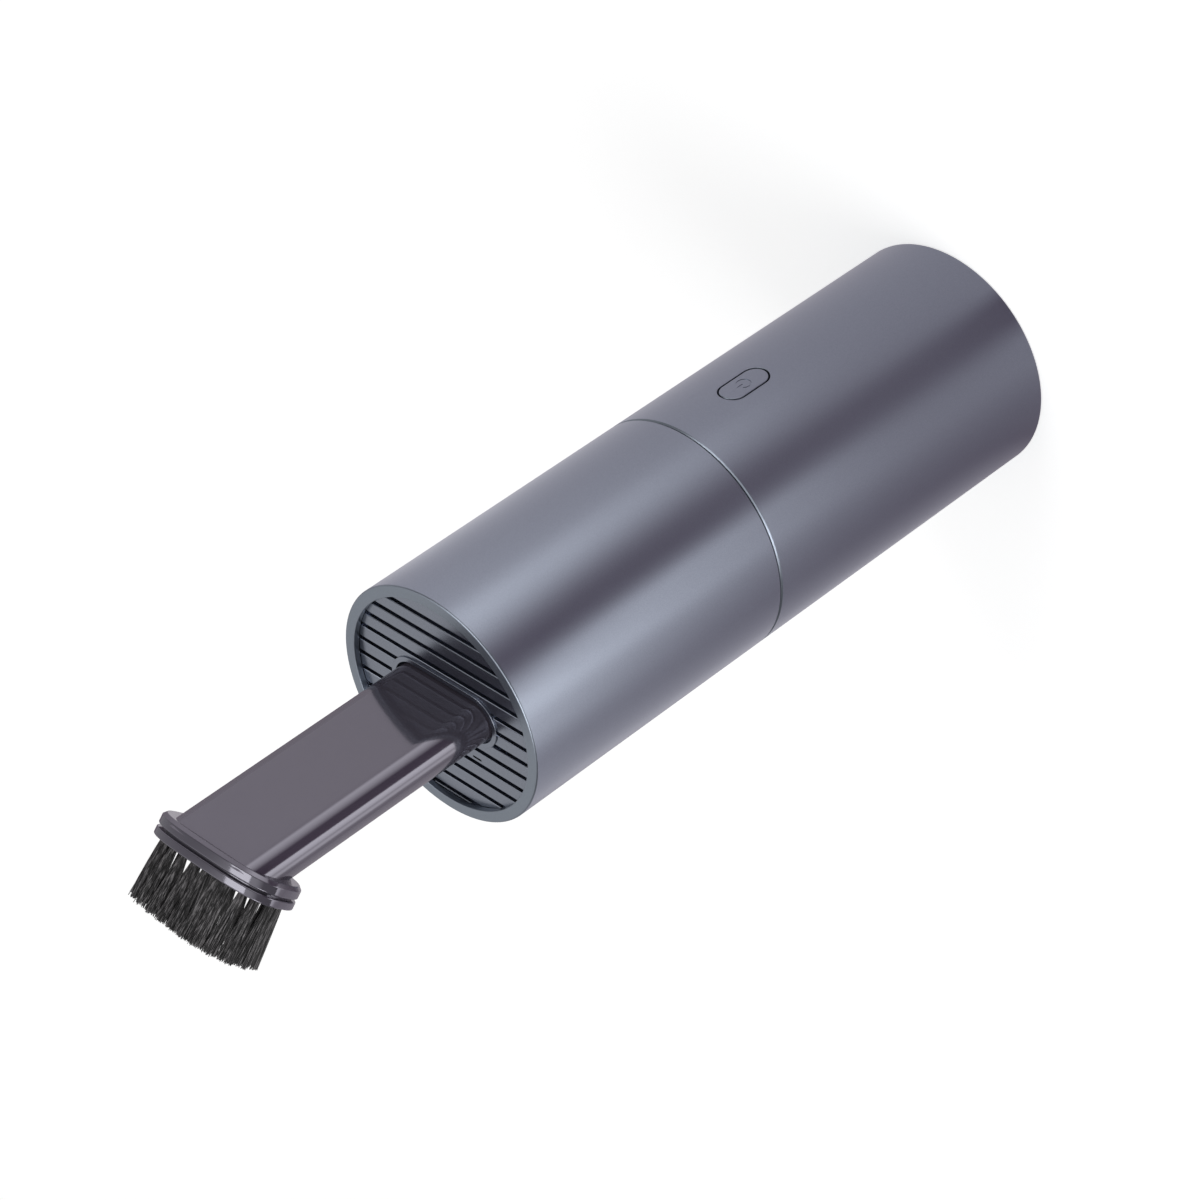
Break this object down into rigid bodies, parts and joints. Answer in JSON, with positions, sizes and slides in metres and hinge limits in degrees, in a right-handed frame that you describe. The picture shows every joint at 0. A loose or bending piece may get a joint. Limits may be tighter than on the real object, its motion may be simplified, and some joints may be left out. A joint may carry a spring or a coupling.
{
  "type": "handheld vacuum cleaner",
  "caption": "Cylindrical handheld vacuum cleaner with a pull-off dust cup, a flat nozzle and a slanted bristle brush.",
  "frame": {"origin": "centre of the flat rear end, on the body's axis", "axes": "+Z along the body towards the nozzle, +X along the nozzle's long side, +Y towards the side that holds the power button"},
  "size_m": [0.066, 0.066, 0.2804],
  "materials": {
    "slate_paint": "satin metallic slate",
    "grille_paint": "satin metallic grey",
    "gloss_charcoal": "polished charcoal",
    "black_bristle": "nylon bristle",
    "black_plastic": "fine matt",
    "grey_plastic": "fine matt",
    "black_rubber": "moulded rubber",
    "steel": "plain steel",
    "copper_windings": "wound copper wire",
    "cell_wrap": "shrink wrap",
    "green_board": "solder mask",
    "filter_paper": "pleated paper",
    "grey_foam": "open foam"
  },
  "bodies": {
    "motor_body": {"main_shell": "slate_paint", "rear_cap": "slate_paint", "rear_cap_screw_1": "steel", "rear_cap_screw_2": "steel", "rear_cap_screw_3": "steel", "exhaust_foam": "grey_foam", "usb_socket": "steel", "charge_board": "green_board", "battery_holder": "black_plastic", "battery_cell_1": "cell_wrap", "battery_cell_2": "cell_wrap", "battery_cell_3": "cell_wrap", "control_board": "green_board", "tact_switch": "black_plastic", "motor_cushion": "black_rubber", "motor_can": "steel", "motor_end_plate": "steel", "motor_stator": "copper_windings", "motor_plate": "black_plastic", "motor_screw_1": "steel", "motor_screw_2": "steel", "motor_screw_3": "steel", "fan_shroud": "black_plastic", "cup_seal": "black_rubber"},
    "fan": {"motor_rotor": "steel", "motor_shaft": "steel", "impeller": "grey_plastic"},
    "button": {"power_button": "slate_paint"},
    "dust_cup": {"dust_cup_shell": "slate_paint", "front_grille": "grille_paint", "inlet_duct": "black_plastic", "flap_pin": "steel", "flap_spring": "steel"},
    "flap": {"inlet_flap": "black_rubber"},
    "filter": {"filter_seal": "black_rubber", "filter_frame": "black_plastic", "filter_pleats": "filter_paper", "filter_cap": "black_plastic"},
    "nozzle": {"nozzle_tube": "gloss_charcoal", "nozzle_seal": "black_rubber"},
    "brush": {"brush_base": "gloss_charcoal", "bristles_front_row": "black_bristle", "bristles_back_row": "black_bristle", "bristles_left_end": "black_bristle", "bristles_right_end": "black_bristle"}
  },
  "joints": [
    {"name": "dust_cup_pull", "type": "slide", "parent": "motor_body", "child": "dust_cup", "axis": [0, 0, 1], "range_m": [0, 0.06]},
    {"name": "nozzle_pull", "type": "slide", "parent": "dust_cup", "child": "nozzle", "axis": [0, 0, 1], "range_m": [0, 0.02]},
    {"name": "brush_pull", "type": "slide", "parent": "nozzle", "child": "brush", "axis": [0, -0.7314, 0.682], "range_m": [0, 0.008]},
    {"name": "filter_pull", "type": "slide", "parent": "motor_body", "child": "filter", "axis": [0, 0, 1], "range_m": [0, 0.007]},
    {"name": "flap_swing", "type": "hinge", "parent": "dust_cup", "child": "flap", "pos_m": [0, 0.011, 0.1648], "axis": [1, 0, 0], "range_deg": [0, 50], "stiffness_Nm_per_rad": 0.0006, "springref_deg": -45.84},
    {"name": "button_press", "type": "slide", "parent": "motor_body", "child": "button", "axis": [0.0489, -0.9988, 0], "range_m": [0, 0.0006], "stiffness_N_per_m": 800, "springref_m": -0.0006},
    {"name": "fan_spin", "type": "hinge", "parent": "motor_body", "child": "fan", "pos_m": [0, 0, 0.1], "axis": [0, 0, 1], "continuous": true}
  ]
}
